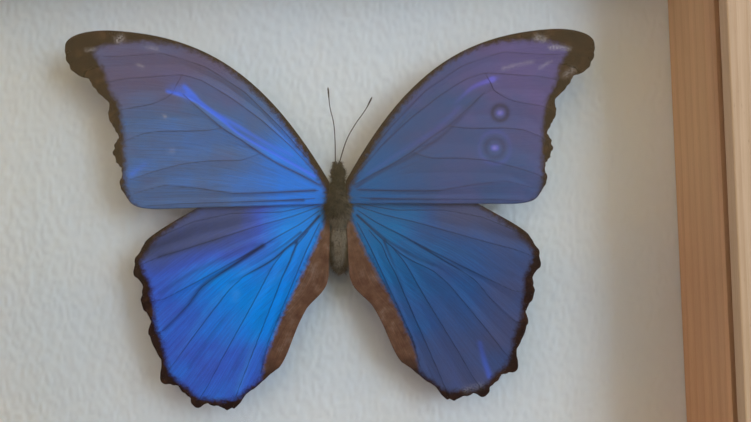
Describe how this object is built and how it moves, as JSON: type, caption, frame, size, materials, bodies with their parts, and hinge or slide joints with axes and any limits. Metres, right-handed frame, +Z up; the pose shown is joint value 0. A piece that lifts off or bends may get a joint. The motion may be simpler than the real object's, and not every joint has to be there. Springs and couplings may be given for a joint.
{
  "type": "framed butterfly specimen",
  "caption": "Set blue morpho butterfly behind glass in a deep, mitred pine box frame with a white embossed lining. It stands on its lower rail or hangs from a sawtooth strip.",
  "frame": {"origin": "middle of the underside of the frame's bottom rail", "axes": "+X to the viewer's right along the frame's width, -Y out through the glass towards the viewer, +Z up towards the butterfly's head"},
  "size_m": [0.218, 0.038, 0.178],
  "materials": {
    "pine_moulding": "fine-sanded pine, thin satin varnish",
    "pine_spacer": "plain planed pine, a shade browner, bare",
    "clear_glass": "clear polished float glass",
    "embossed_paper": "matt cool-white paper with a fine pebbled emboss",
    "foam_core": "white paper-faced foam board",
    "hardboard": "brown pressed hardboard, smooth side out",
    "tab_steel": "plain bright steel",
    "nail_brass": "brass-plated, slightly dulled",
    "wing_scales": "iridescent blue scales with a dark brown edge",
    "body_fur": "dull olive-brown fur and scales",
    "antenna_horn": "dark brown horn, ringed"
  },
  "bodies": {
    "root": {"rail_bottom": "pine_moulding", "rail_top": "pine_moulding", "rail_left": "pine_moulding", "rail_right": "pine_moulding", "back_tab_1": "tab_steel", "back_tab_2": "tab_steel", "back_tab_3": "tab_steel", "back_tab_4": "tab_steel", "back_tab_5": "tab_steel", "back_tab_6": "tab_steel", "hanger": "tab_steel", "hanger_nail_left": "nail_brass", "hanger_nail_right": "nail_brass", "spacer_left": "pine_spacer", "spacer_right": "pine_spacer", "spacer_bottom": "pine_spacer", "spacer_top": "pine_spacer", "glass": "clear_glass", "lining_paper": "embossed_paper", "foam_board": "foam_core", "backing_board": "hardboard", "butterfly_body": "body_fur", "forewing_left": "wing_scales", "forewing_right": "wing_scales", "hindwing_left": "wing_scales", "hindwing_right": "wing_scales", "antenna_left": "antenna_horn", "antenna_right": "antenna_horn", "mounting_pin": "tab_steel"}
  },
  "joints": []
}
